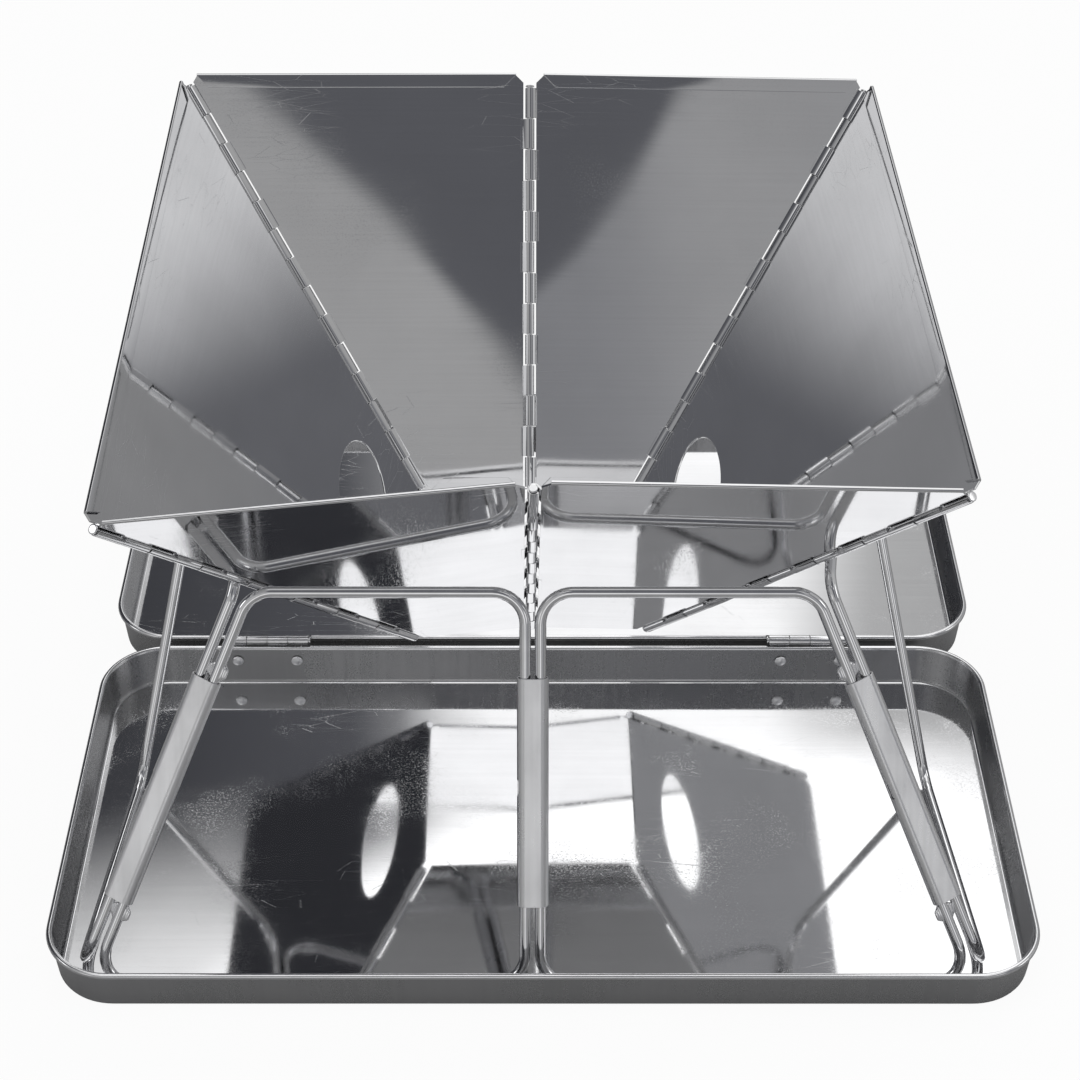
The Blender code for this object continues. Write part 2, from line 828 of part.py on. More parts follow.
def main():
    clear_scene()
    case_steel = make_material("case steel", (0.52, 0.52, 0.52), 0.32)
    panel_steel = make_material("panel steel", (0.62, 0.62, 0.62), 0.22)
    wire_steel = make_material("wire steel", (0.72, 0.72, 0.72), 0.15)
    sleeve_steel = make_material("sleeve steel", (0.66, 0.66, 0.66), 0.38)
    bright_steel = make_material("bright steel", (0.75, 0.75, 0.75), 0.20)
    make_case(case_steel, bright_steel)
    make_firebox(panel_steel, bright_steel)
    make_stand(wire_steel, sleeve_steel)


main()
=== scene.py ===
import math

import bmesh
import bpy
from mathutils import Matrix, Vector


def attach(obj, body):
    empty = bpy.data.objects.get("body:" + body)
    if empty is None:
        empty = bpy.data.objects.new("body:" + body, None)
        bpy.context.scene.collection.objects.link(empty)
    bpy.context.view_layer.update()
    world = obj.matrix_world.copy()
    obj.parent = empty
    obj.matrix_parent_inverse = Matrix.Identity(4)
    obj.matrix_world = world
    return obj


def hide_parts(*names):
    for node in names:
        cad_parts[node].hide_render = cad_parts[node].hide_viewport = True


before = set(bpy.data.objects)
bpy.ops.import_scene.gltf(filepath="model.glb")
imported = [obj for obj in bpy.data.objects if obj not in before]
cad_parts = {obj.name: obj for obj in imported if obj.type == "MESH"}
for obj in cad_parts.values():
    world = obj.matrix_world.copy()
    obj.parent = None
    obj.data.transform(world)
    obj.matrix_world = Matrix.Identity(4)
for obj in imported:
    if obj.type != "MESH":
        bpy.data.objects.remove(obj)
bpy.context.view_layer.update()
print("frame loaded:", len(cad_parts), "nodes")

# Camera, at the photograph's viewing angle
view = {
    "place": (-0.0021563, -0.6735092, 0.6440674),
    "turn": (53.39837, -0.05847, -0.04083),  # degrees
    "lens": 81.5407,
    "sensor": 36.0,
    "rise": -0.01283,
    "near": 0.01,
}


def addCamera():
    turn = [math.radians(angle) for angle in view["turn"]]
    bpy.ops.object.camera_add(location=view["place"], rotation=turn)
    camera = bpy.context.object
    camera.data.lens = view["lens"]
    camera.data.sensor_width = view["sensor"]
    camera.data.shift_y = view["rise"]
    camera.data.clip_start = view["near"]
    bpy.context.scene.camera = camera


# Node helpers


def addNode(tree, kind, **settings):
    node = tree.nodes.new(kind)
    for name, value in settings.items():
        setattr(node, name, value)
    return node


def addMath(tree, operation, first, second=0.0, third=0.5):
    node = addNode(tree, "ShaderNodeMath", operation=operation)
    for socket, value in zip(node.inputs, (first, second, third)):
        if isinstance(value, (int, float)):
            socket.default_value = value
        else:
            tree.links.new(value, socket)
    return node.outputs[0]


def addRange(tree, value, low, high, newLow, newHigh):
    node = addNode(tree, "ShaderNodeMapRange", interpolation_type="SMOOTHSTEP")
    tree.links.new(value, node.inputs["Value"])
    for name, number in (("From Min", low), ("From Max", high), ("To Min", newLow), ("To Max", newHigh)):
        node.inputs[name].default_value = number
    return node.outputs["Result"]


def addPath(tree):
    # the kinds of ray, and 1 for those that meet plain white
    path = addNode(tree, "ShaderNodeLightPath")
    seen = addMath(tree, "MAXIMUM", path.outputs["Is Camera Ray"], path.outputs["Is Transmission Ray"])
    return path, seen


def closeTree(tree, kind, share, first, second):
    # mixes two shaders into the tree's output
    both = addNode(tree, "ShaderNodeMixShader")
    for socket, source in zip(both.inputs, (share, first.outputs[0], second.outputs[0])):
        tree.links.new(source, socket)
    end = addNode(tree, kind)
    tree.links.new(both.outputs[0], end.inputs[0])


# Studio: a pale floor, a white backdrop behind and a darker room in front
studio = {
    "floorSize": 6.0,
    "floorDrop": 0.0002,
    "floorTone": 0.86,
    "floorGlow": 0.94,  # share of the floor that shows plain white to the camera
    "mirrorShare": 0.65,  # share that shows an even dark tone to the metal
    "mirrorTone": 0.06,
    "room": [  # azimuth in degrees, from +Y toward +X, then level
        (-180, 0.31), (-173, 0.38), (-167, 0.44), (-160, 0.34), (-145, 0.20), (-133, 0.20), (-118, 0.38),
        (-105, 0.40), (-85, 0.12), (-65, 0.05), (-45, 0.04), (-35, 0.04), (-14, 0.05), (-5, 0.09),
        (-1.5, 1.2), (7, 1.2), (9.5, 0.50), (16, 0.42), (40, 0.36),
        (60, 0.38), (75, 0.48), (100, 0.46), (116, 0.24), (130, 0.22), (150, 0.36), (157, 0.41), (162, 0.29),
        (180, 0.31),
    ],
    "zenith": (58, 72, 0.50),  # from and to these elevations, then level
    "patches": [  # azimuth, elevation, radius, softness in degrees, then level
        (5, 74, 11, 5, 1.65),
        (176.5, 47.5, 14.9, 0.5, 0.13),
        (-150.7, 12.7, 32.2, 0.5, 0.44),
        (125, 68, 13.6, 5.5, 1.15),
        (-141, 72, 12.2, 6.5, 1.15),
        (-12, 62, 15.2, 4.5, 0.95),
        (12, 60, 18.0, 1.5, 1.50),
        (180, 9, 5, 6, 0.95),
        (138, 14, 5, 6, 0.90),
        (-138, 14, 5, 6, 0.90),
        (-95, 28, 8, 1.5, 1.8),
        (95, 28, 8, 1.5, 1.8),
    ],
    "cool": (0.06, 0.03, -0.12),  # what the darkest parts lose of red, green and blue
    "coolBelow": 0.45,  # levels under this one are cooler
}


def direction(azimuth, elevation):
    across, up = math.radians(azimuth), math.radians(elevation)
    return (math.sin(across) * math.cos(up), math.cos(across) * math.cos(up), math.sin(up))


def roomColour(level):
    # the darker parts of the room are a little bluer
    share = max(0.0, 1 - level / studio["coolBelow"])
    return tuple(level * (1 - share * loss) for loss in studio["cool"]) + (1,)


def lightWorld():
    world = bpy.data.worlds.new("studio")
    bpy.context.scene.world = world
    world.use_nodes = True
    tree = world.node_tree
    tree.nodes.clear()
    ray = addNode(tree, "ShaderNodeTexCoord").outputs["Generated"]
    split = addNode(tree, "ShaderNodeSeparateXYZ")
    tree.links.new(ray, split.inputs[0])
    turn = addMath(tree, "ARCTAN2", split.outputs["X"], split.outputs["Y"])
    place = addMath(tree, "MULTIPLY_ADD", turn, 0.5 / math.pi, 0.5)
    ramp = addNode(tree, "ShaderNodeValToRGB")
    stops = ramp.color_ramp
    stops.interpolation = "EASE"
    stops.elements.remove(stops.elements[0])
    for i, (azimuth, level) in enumerate(studio["room"]):
        spot = azimuth / 360 + 0.5
        stop = stops.elements.new(spot) if i else stops.elements[0]
        stop.position = spot
        stop.color = roomColour(level)
    tree.links.new(place, ramp.inputs[0])
    level = ramp.outputs[0]
    start, end, bright = studio["zenith"]
    low, high = math.sin(math.radians(start)), math.sin(math.radians(end))
    masks = [(addRange(tree, split.outputs["Z"], low, high, 0, 1), bright)]
    for azimuth, elevation, radius, softness, bright in studio["patches"]:
        near = addNode(tree, "ShaderNodeVectorMath", operation="DOT_PRODUCT")
        tree.links.new(ray, near.inputs[0])
        near.inputs[1].default_value = direction(azimuth, elevation)
        low, high = math.cos(math.radians(radius + softness)), math.cos(math.radians(radius))
        masks.append((addRange(tree, near.outputs["Value"], low, high, 0, 1), bright))
    for mask, bright in masks:
        mix = addNode(tree, "ShaderNodeMix", data_type="RGBA")
        tree.links.new(mask, mix.inputs["Factor"])
        tree.links.new(level, mix.inputs["A"])
        mix.inputs["B"].default_value = roomColour(bright)
        level = mix.outputs["Result"]
    surround = addNode(tree, "ShaderNodeBackground")
    tree.links.new(level, surround.inputs["Color"])
    white = addNode(tree, "ShaderNodeBackground")
    white.inputs["Color"].default_value = (1, 1, 1, 1)
    _, seen = addPath(tree)
    closeTree(tree, "ShaderNodeOutputWorld", seen, surround, white)


lampAim = (0, 0.08, 0.08)
lamps = {
    "key": {"place": (-0.9, -0.6, 1.6), "size": 1.2, "watts": 6.0},
    "fill": {"place": (1.1, 0.5, 1.5), "size": 1.4, "watts": 4.0},
}


def addLamps():
    for name, lamp in lamps.items():
        aim = Vector(lampAim) - Vector(lamp["place"])
        turn = aim.to_track_quat("-Z", "Y").to_euler()
        bpy.ops.object.light_add(type="AREA", location=lamp["place"], rotation=turn)
        light = bpy.context.object
        light.name = name
        light.data.shape = "DISK"
        light.data.size = lamp["size"]
        light.data.energy = lamp["watts"]
        light.visible_glossy = False


def addFloor():
    bpy.ops.mesh.primitive_plane_add(size=studio["floorSize"], location=(0, 0, -studio["floorDrop"]))
    floor = bpy.context.object
    floor.name = "floor"
    material = bpy.data.materials.new("pale floor")
    material.use_nodes = True
    tree = material.node_tree
    tree.nodes.clear()
    paint = addNode(tree, "ShaderNodeBsdfDiffuse")
    paint.inputs["Color"].default_value = (studio["floorTone"],) * 3 + (1,)
    glow = addNode(tree, "ShaderNodeEmission")
    path, seen = addPath(tree)
    tone = addMath(tree, "MULTIPLY_ADD", seen, 1 - studio["mirrorTone"], studio["mirrorTone"])
    tree.links.new(tone, glow.inputs["Strength"])
    seen = addMath(tree, "MULTIPLY", seen, studio["floorGlow"])
    mirrored = addMath(tree, "MULTIPLY", path.outputs["Is Glossy Ray"], studio["mirrorShare"])
    share = addMath(tree, "MAXIMUM", seen, mirrored)
    closeTree(tree, "ShaderNodeOutputMaterial", share, paint, glow)
    floor.data.materials.append(material)


# Steels, with scales per metre and bumps in metres
steels = {
    "case floor": {
        "tone": 0.80, "rough": (0.03, 0.07), "grain": (9, 500), "streak": 0.25, "grainBump": 0.0000005,
        "smudge": 20, "wave": 7, "waveBump": 0.00006, "speck": 0.20, "haze": (0.50, 0.62), "scratch": 0.8,
    },
    "case rim": {
        "tone": 0.76, "rough": (0.10, 0.18), "grain": (30, 600), "streak": 0.3, "grainBump": 0.000002,
        "smudge": 60, "wave": 40, "waveBump": 0.00004, "speck": 0.05, "haze": (0.40, 0.60), "scratch": 0.0,
    },
    # the walls' rough satin grain is their own; their tone, well below the floor's on the same pressed
    # sheet, is painted shade
    "case wall with painted shade": {
        "tone": 0.46, "rough": (0.20, 0.30), "grain": (420, 14), "streak": 0.35, "grainBump": 0.0000015,
        "smudge": 20, "wave": 14, "waveBump": 0.00025, "speck": 0.10, "haze": (0.40, 0.60), "scratch": 0.0,
    },
    "panel": {
        "tone": 0.70, "rough": (0.018, 0.050), "grain": (14, 900), "streak": 0.2, "grainBump": 0.0000006,
        "smudge": 14, "wave": 9, "waveBump": 0.00012, "speck": 0.07, "haze": (0.50, 0.64), "scratch": 1.0,
    },
    "wire": {
        "tone": 0.84, "rough": (0.02, 0.06), "grain": (200, 200), "streak": 0.2, "grainBump": 0.000002,
        "smudge": 90, "wave": 60, "waveBump": 0.00008, "speck": 0.08, "haze": (0.40, 0.60), "scratch": 0.0,
    },
    "sleeve": {
        "tone": 0.84, "rough": (0.27, 0.32), "grain": (400, 10), "streak": 0.4, "grainBump": 0.000001,
        "smudge": 40, "wave": 50, "waveBump": 0.00006, "speck": 0.05, "haze": (0.40, 0.60), "scratch": 0.0,
    },
    "bright": {
        "tone": 0.82, "rough": (0.08, 0.16), "grain": (300, 300), "streak": 0.2, "grainBump": 0.000002,
        "smudge": 80, "wave": 80, "waveBump": 0.00004, "speck": 0.08, "haze": (0.40, 0.60), "scratch": 0.0,
    },
    "rivet": {
        "tone": 0.97, "rough": (0.30, 0.40), "grain": (300, 300), "streak": 0.2, "grainBump": 0.000004,
        "smudge": 200, "wave": 200, "waveBump": 0.00004, "speck": 0.05, "haze": (0.40, 0.60), "scratch": 0.0,
    },
}
steelMix = {
    "tint": (0.985, 0.987, 1.0),
    "tones": (1.04, 0.94),  # from the lightest to the darkest share of the tone
    "toneSpan": (0.30, 0.70),  # cloud levels between which the tone changes
    "roughSpan": (0.35, 0.65),
    "clear": 0.15,  # what is left of the specks where no haze lies
}
specks = {"scale": 1500, "few": (0.48, 0.72)}
scratches = {
    "scale": 26, "stretch": (1, 9, 9), "turns": (28, -52), "width": 0.006, "rough": 0.25,
    "cloud": 11, "shown": (0.54, 0.62),
}


def makeSteel(name, coords):
    look = steels[name]
    material = bpy.data.materials.new(name)
    material.use_nodes = True
    tree = material.node_tree
    shader = tree.nodes["Principled BSDF"]
    shader.inputs["Metallic"].default_value = 1.0
    where = addNode(tree, "ShaderNodeTexCoord").outputs[coords]

    def spread(stretch, turn=0.0):
        mapping = addNode(tree, "ShaderNodeMapping")
        mapping.inputs["Scale"].default_value = stretch
        mapping.inputs["Rotation"].default_value[2] = math.radians(turn)
        tree.links.new(where, mapping.inputs["Vector"])
        return mapping.outputs[0]

    def noise(scale, detail, stretch=(1, 1, 1), turn=0.0):
        cloud = addNode(tree, "ShaderNodeTexNoise")
        cloud.inputs["Scale"].default_value = scale
        cloud.inputs["Detail"].default_value = detail
        tree.links.new(spread(stretch, turn), cloud.inputs["Vector"])
        return cloud.outputs[0]

    across, along = look["grain"]
    grain = noise(1.0, detail=3.0, stretch=(across, along, along))
    smudge = noise(look["smudge"], detail=6.0)
    low, high = look["rough"]
    mixed = addMath(tree, "MULTIPLY", grain, look["streak"])
    mixed = addMath(tree, "MULTIPLY_ADD", smudge, 1 - look["streak"], mixed)
    rough = addRange(tree, mixed, *steelMix["roughSpan"], low, high)
    # fine specks, only where the haze lies
    speck = addRange(tree, noise(specks["scale"], detail=2.0), *specks["few"], 0, look["speck"])
    haze = addRange(tree, smudge, *look["haze"], steelMix["clear"], 1)
    rough = addMath(tree, "MULTIPLY_ADD", speck, haze, rough)
    if look["scratch"]:
        # thin scratches two ways, where a slow cloud lets them show
        for turn in scratches["turns"]:
            cells = addNode(tree, "ShaderNodeTexVoronoi", feature="DISTANCE_TO_EDGE")
            cells.inputs["Scale"].default_value = scratches["scale"]
            tree.links.new(spread(scratches["stretch"], turn), cells.inputs["Vector"])
            line = addRange(tree, cells.outputs["Distance"], 0, scratches["width"], 1, 0)
            cloud = noise(scratches["cloud"], detail=2.0, turn=turn)
            shown = addRange(tree, cloud, *scratches["shown"], 0, look["scratch"])
            line = addMath(tree, "MULTIPLY", line, shown)
            rough = addMath(tree, "MULTIPLY_ADD", line, scratches["rough"], rough)
    tree.links.new(rough, shader.inputs["Roughness"])
    shade = addNode(tree, "ShaderNodeCombineColor")
    light, dark = steelMix["tones"]
    for socket, tint in zip(shade.inputs[:3], steelMix["tint"]):
        bright = look["tone"] * tint
        tone = addRange(tree, mixed, *steelMix["toneSpan"], bright * light, bright * dark)
        tree.links.new(tone, socket)
    tree.links.new(shade.outputs[0], shader.inputs["Base Color"])
    fine = addNode(tree, "ShaderNodeBump")
    fine.inputs["Distance"].default_value = look["grainBump"]
    tree.links.new(grain, fine.inputs["Height"])
    soft = addNode(tree, "ShaderNodeBump")
    soft.inputs["Distance"].default_value = look["waveBump"]
    tree.links.new(noise(look["wave"], detail=1.0), soft.inputs["Height"])
    tree.links.new(fine.outputs[0], soft.inputs["Normal"])
    tree.links.new(soft.outputs[0], shader.inputs["Normal"])
    return material


# Modelling helpers
tolerance = {"line": 0.00001, "corner": 0.00005, "bend": 0.0005, "double": 0.000001}
easing = {"from": math.radians(50), "sheet": 0.00012, "roll": 0.00008}  # "from": flatter edges stay sharp
rollShare = 0.98  # of the sheet, so that a roll never shares a face with the flat part


def choose(piece, others=()):
    bpy.ops.object.select_all(action="DESELECT")
    for other in (piece, *others):
        other.select_set(True)
    bpy.context.view_layer.objects.active = piece


def applyPlace():
    bpy.ops.object.transform_apply(location=True, rotation=True, scale=True)


def openEdit(piece, mode="VERT", action="DESELECT"):
    choose(piece)
    bpy.ops.object.mode_set(mode="EDIT")
    bpy.ops.mesh.select_mode(type=mode)
    bpy.ops.mesh.select_all(action=action)


def closeEdit():
    bpy.ops.object.mode_set(mode="OBJECT")


def pick(piece, kind, test):
    # picks the corners, edges or faces whose middle passes the test
    bpy.ops.mesh.select_mode(type=kind)
    bm = bmesh.from_edit_mesh(piece.data)
    for group in (bm.verts, bm.edges, bm.faces):
        for part in group:
            part.select_set(False)
    group = {"VERT": bm.verts, "EDGE": bm.edges, "FACE": bm.faces}[kind]
    for part in group:
        if kind == "VERT":
            middle = part.co
        elif kind == "EDGE":
            middle = (part.verts[0].co + part.verts[1].co) / 2
        else:
            middle = part.calc_center_median()
        if test(middle):
            part.select_set(True)
    bmesh.update_edit_mesh(piece.data)


def pickCorner(piece, place, within=tolerance["corner"]):
    pick(piece, "VERT", lambda middle: (middle - Vector(place)).length < within)


def pushOut(move):
    bpy.ops.mesh.extrude_region_move(TRANSFORM_OT_translate={"value": move})


def slide(move):
    bpy.ops.transform.translate(value=move)


def addPlane(name, lowCorner, highCorner):
    # a flat rectangle in X and Y, at the height of its low corner
    low, high = Vector(lowCorner), Vector(highCorner)
    bpy.ops.object.select_all(action="DESELECT")
    bpy.ops.mesh.primitive_plane_add(size=1, location=(low + high) / 2)
    piece = bpy.context.object
    piece.name = name
    piece.scale = (high.x - low.x, high.y - low.y, 1)
    applyPlace()
    return piece


def addBox(place, size):
    bpy.ops.object.select_all(action="DESELECT")
    bpy.ops.mesh.primitive_cube_add(size=1, location=place)
    box = bpy.context.object
    box.scale = size
    applyPlace()
    return box


def addModifier(piece, kind, **settings):
    modifier = piece.modifiers.new(kind.lower(), kind)
    for name, value in settings.items():
        setattr(modifier, name, value)
    choose(piece)
    bpy.ops.object.modifier_apply(modifier=modifier.name)


def thicken(piece, sheet, ease=easing["sheet"]):
    # gives a surface its sheet, half to each side, with eased edges
    addModifier(piece, "SOLIDIFY", thickness=sheet, offset=0, use_even_offset=True)
    addModifier(piece, "BEVEL", width=ease, segments=2, limit_method="ANGLE", angle_limit=easing["from"])


def cutAway(piece, cutter):
    addModifier(piece, "BOOLEAN", operation="DIFFERENCE", solver="EXACT", object=cutter)
    bpy.data.objects.remove(cutter, do_unlink=True)


def smooth(piece, limit=35):
    choose(piece)
    bpy.ops.object.shade_smooth_by_angle(angle=math.radians(limit))
    # wide flat faces keep their own direction, so that they mirror as flat sheets do
    addModifier(piece, "WEIGHTED_NORMAL", mode="FACE_AREA", weight=100, keep_sharp=True)


def turnOut(piece):
    # merges doubles and points every face outwards
    openEdit(piece, action="SELECT")
    bpy.ops.mesh.remove_doubles(threshold=tolerance["double"])
    bpy.ops.mesh.normals_make_consistent(inside=False)
    closeEdit()


def settle(piece, matrix):
    # puts the place into the mesh and leaves the object at the origin
    piece.matrix_world = matrix
    choose(piece)
    applyPlace()


def copyOf(piece, name, matrix=None):
    other = piece.copy()
    other.data = piece.data.copy()
    other.name = name
    bpy.context.scene.collection.objects.link(other)
    if matrix is not None:
        settle(other, matrix)
    return other


def joinTo(piece, others):
    choose(piece, others)
    bpy.ops.object.join()


def frameAt(origin, x, y):
    # a matrix with these X and Y directions, Y made square to X
    across = Vector(x).normalized()
    up = Vector(y)
    up = (up - across * up.dot(across)).normalized()
    matrix = Matrix((across, up, across.cross(up))).transposed().to_4x4()
    matrix.translation = Vector(origin)
    return matrix


def frameAlong(origin, along, toward):
    # a matrix whose Z runs along and whose X points as near toward as it can
    up = Vector(along).normalized()
    across = Vector(toward)
    across = (across - up * across.dot(up)).normalized()
    matrix = Matrix((across, up.cross(across), up)).transposed().to_4x4()
    matrix.translation = Vector(origin)
    return matrix


def mapFlat(piece):
    # keeps the flat X and Y of a sheet as its own map, so that the grain follows the sheet
    layer = piece.data.uv_layers.new(name="sheet") if not piece.data.uv_layers else piece.data.uv_layers[0]
    for loop in piece.data.loops:
        place = piece.data.vertices[loop.vertex_index].co
        layer.data[loop.index].uv = (place.x, place.y)
    layer.name = "sheet"


def dress(piece, name, node, body, finish):
    piece.name = name
    if finish and not piece.data.materials:
        piece.data.materials.append(finishes[finish])
    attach(piece, body)
    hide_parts(node)


def addBar(name, profile, steps=24):
    # a turned piece: rings of (radius, height) drawn out one after another
    bpy.ops.object.select_all(action="DESELECT")
    radius, height = profile[0]
    place = (0, 0, height)
    bpy.ops.mesh.primitive_circle_add(vertices=steps, radius=radius, fill_type="NGON", location=place)
    bar = bpy.context.object
    bar.name = name
    applyPlace()
    openEdit(bar, "FACE", "SELECT")
    for nextRadius, nextHeight in profile[1:]:
        pushOut((0, 0, nextHeight - height))
        share = nextRadius / radius
        bpy.ops.transform.resize(value=(share, share, 1), center_override=(0, 0, nextHeight))
        radius, height = nextRadius, nextHeight
    closeEdit()
    turnOut(bar)
    return bar


pinHead = {"wider": 0.0007, "gap": 0.0003, "height": 0.0009}


def pinProfile(radius, low, high, ends):
    # a pin from low to high with a head past each end; ends: the tip's share and the shoulder's height
    head, gap = radius + pinHead["wider"], pinHead["gap"]
    halves = [
        [(head * share, pinHead["height"]), (head, shoulder), (head, gap), (radius, gap)]
        for share, shoulder in ends
    ]
    return [(r, low - past) for r, past in halves[0]] + [(r, high + past) for r, past in halves[1][::-1]]


# Case: two pressed trays, joined rim to rim
case = {
    "width": 0.350,
    "depth": 0.180,
    "height": 0.0175,
    "corner": 0.025,
    "cornerSteps": 18,
    "sheet": 0.0008,
    "wallTop": 0.0014,  # the wall's outer face, in from the bead
    "taper": 0.0012,
    "floorRadius": 0.0018,
    "floorSteps": 5,
    "bead": 0.0011,
    "beadSteps": 8,
    "beadFoot": -80,  # where the bead's underside ends, in degrees
    "wallEase": 0.00005,  # how far the wall's top is turned in
    "rimBand": 2.2,  # how far down the rim's finish reaches, in bead radii
    "wallTilt": 0.8,  # faces whose normal rises less than this are the wall's
    "hingeAxis": (0.09235, 0.01765),  # Y and Z that the lid turns about
    "hingeCentres": (("left", -0.1110), ("right", 0.1080)),
    "notchHalf": 0.0174,
    "notchDrop": 0.0030,
}


def arc(radius, steps, start, end):
    # points of an arc as (inset, rise) from its centre, in degrees
    turns = [math.radians(start + (end - start) * i / steps) for i in range(steps + 1)]
    return [(-radius * math.cos(turn), radius * math.sin(turn)) for turn in turns]


def shapeTray():
    bead, sheet = case["bead"], case["sheet"]
    level = case["height"] - bead
    foot = case["wallTop"] + case["taper"]
    outer, inner = case["floorRadius"], case["floorRadius"] - sheet / 2
    bend = (foot + sheet + inner, sheet + inner)
    over = [(bead + i, level + z) for i, z in arc(bead, case["beadSteps"], 0, 180)]
    over += [(bend[0] + i, bend[1] + z) for i, z in arc(inner, case["floorSteps"], 0, -90)]
    under = [(bead + i, level + z) for i, z in arc(bead, case["beadSteps"] // 2, 0, case["beadFoot"])]
    under += [(case["wallTop"] + case["wallEase"], level - bead - sheet)]
    under += [(foot + outer + i, outer + z) for i, z in arc(outer, case["floorSteps"], 0, -90)]
    shells = []
    for name, route in (("trayInside", over), ("trayOutside", under)):
        half = (case["width"] / 2, case["depth"] / 2)
        shell = addPlane(name, (-half[0], -half[1], level), (half[0], half[1], level))
        openEdit(shell, action="SELECT")
        bpy.ops.mesh.bevel(affect="VERTICES", offset=case["corner"], segments=case["cornerSteps"])
        bpy.ops.mesh.select_mode(type="FACE")
        bpy.ops.mesh.select_all(action="SELECT")
        for (inset, height), (nextInset, nextHeight) in zip(route, route[1:]):
            bpy.ops.mesh.inset(thickness=max(nextInset - inset, 0), depth=nextHeight - height)
        closeEdit()
        shells.append(shell)
    tray = shells[0]
    joinTo(tray, shells[1:])
    turnOut(tray)
    wall, drop = case["depth"] / 2 - case["wallTop"], case["notchDrop"]
    for _, centre in case["hingeCentres"]:
        size = (case["notchHalf"] * 2, drop, drop * 2)
        cutAway(tray, addBox((centre, wall + drop / 2, case["height"]), size))
    # the floor, the walls and the rim have finishes of their own, and the walls' darker tone is painted
    # shade
    for finish in ("case floor", "case wall with painted shade", "case rim"):
        tray.data.materials.append(finishes[finish])
    rim = case["height"] - case["rimBand"] * bead
    for face in tray.data.polygons:
        if face.center.z > rim:
            face.material_index = 2
        elif abs(face.normal.z) <= case["wallTilt"]:
            face.material_index = 1
    smooth(tray, limit=50)
    return tray


def makeTrays():
    base = shapeTray()
    lid = copyOf(base, "lidTrayShell")
    openEdit(lid, action="SELECT")
    bpy.ops.transform.resize(value=(1, -1, 1), center_override=(0, case["hingeAxis"][0], 0))
    bpy.ops.mesh.normals_make_consistent(inside=False)
    closeEdit()
    smooth(lid, limit=50)
    dress(base, "baseTrayShell", "base_tray", "base", None)
    dress(lid, "lidTrayShell", "lid_tray", "lid", None)
    print("trays done")


# Rim hinges and their rivets
rimHinge = {
    "length": 0.0332,
    "knuckles": 4,
    "gap": 0.0003,
    "radius": 0.0021,
    "sheet": 0.0008,
    "plateOut": 0.00325,  # the plate's middle, from the axis
    "plateLow": -0.0097,
    "lap": 0.0002,  # how far the plate's top reaches into the rolls
    "ease": 0.0003,
    "turn": 285,  # how far a knuckle is rolled, in degrees
    "steps": 14,
    "pin": 0.0010,
    "pinEnds": ((0.7, 0.0007), (0.7, 0.0007)),
    "rivetSpread": 0.0119,
}


def shapeRimLeaf(side):
    # side 1 is the base tray's leaf; the knuckles roll round the X axis
    middle = rimHinge["radius"] - rimHinge["sheet"] / 2
    half, thick = rimHinge["length"] / 2, rimHinge["sheet"] / 2
    out = -side * rimHinge["plateOut"]
    foot, ease = rimHinge["plateLow"], rimHinge["ease"]
    plate = addPlane("leafPlate", (-half, out - thick, foot), (half, out + thick, foot))
    openEdit(plate, "FACE", "SELECT")
    pushOut((0, 0, -middle + rimHinge["lap"] - foot))
    closeEdit()
    turnOut(plate)
    limit = easing["from"]
    addModifier(plate, "BEVEL", width=ease, segments=3, limit_method="ANGLE", angle_limit=limit)
    pitch = rimHinge["length"] / rimHinge["knuckles"]
    turn = math.radians(rimHinge["turn"])
    rolls = []
    for i in range(0 if side > 0 else 1, rimHinge["knuckles"], 2):
        low = -half + i * pitch + rimHinge["gap"] / 2
        high = low + pitch - rimHinge["gap"]
        near, far = sorted((0.0, out))
        roll = addPlane("roll", (low, near, -middle), (high, far, -middle))
        openEdit(roll)
        pick(roll, "EDGE", lambda spot: abs(spot.y) < tolerance["line"])
        bpy.ops.mesh.spin(steps=rimHinge["steps"], angle=turn, center=(0, 0, 0), axis=(-side, 0, 0))
        closeEdit()
        turnOut(roll)
        thicken(roll, rimHinge["sheet"] * rollShare, easing["roll"])
        rolls.append(roll)
    joinTo(plate, rolls)
    smooth(plate)
    return plate


def makeRimHinges():
    y, z = case["hingeAxis"]
    leaves = {"base": shapeRimLeaf(1), "lid": shapeRimLeaf(-1)}
    half = rimHinge["length"] / 2
    pin = addBar("rimPin", pinProfile(rimHinge["pin"], -half, half, rimHinge["pinEnds"]))
    smooth(pin)
    for side, centre in case["hingeCentres"]:
        for owner, leaf in leaves.items():
            piece = copyOf(leaf, "leafCopy", Matrix.Translation((centre, y, z)))
            node = f"{side}_rim_hinge_{owner}_leaf"
            dress(piece, f"{side}RimLeaf_{owner}", node, owner, "bright")
        piece = copyOf(pin, "pinCopy", frameAlong((centre, y, z), (1, 0, 0), (0, 1, 0)))
        dress(piece, f"{side}RimPin", f"{side}_rim_hinge_pin", "base", "bright")
    for old in list(leaves.values()) + [pin]:
        bpy.data.objects.remove(old, do_unlink=True)
    print("rim hinges done")


rivet = {
    "steps": 28,
    "head": 0.0023,
    "dome": 0.0009,
    "domeStart": 10,  # the flat in the dome's middle, in degrees
    "domeSteps": 6,
    "shank": 0.0011,
    "grip": (-0.0011, 0.0017),  # from the wall's outer face: inside the tray, then outside
    "tail": 0.0019,
    "tailRise": 0.0004,
    "tailEase": 0.85,
    "height": 0.0113,
    "wallIn": 0.00182,  # the wall's outer face at the rivets, in from the bead
}


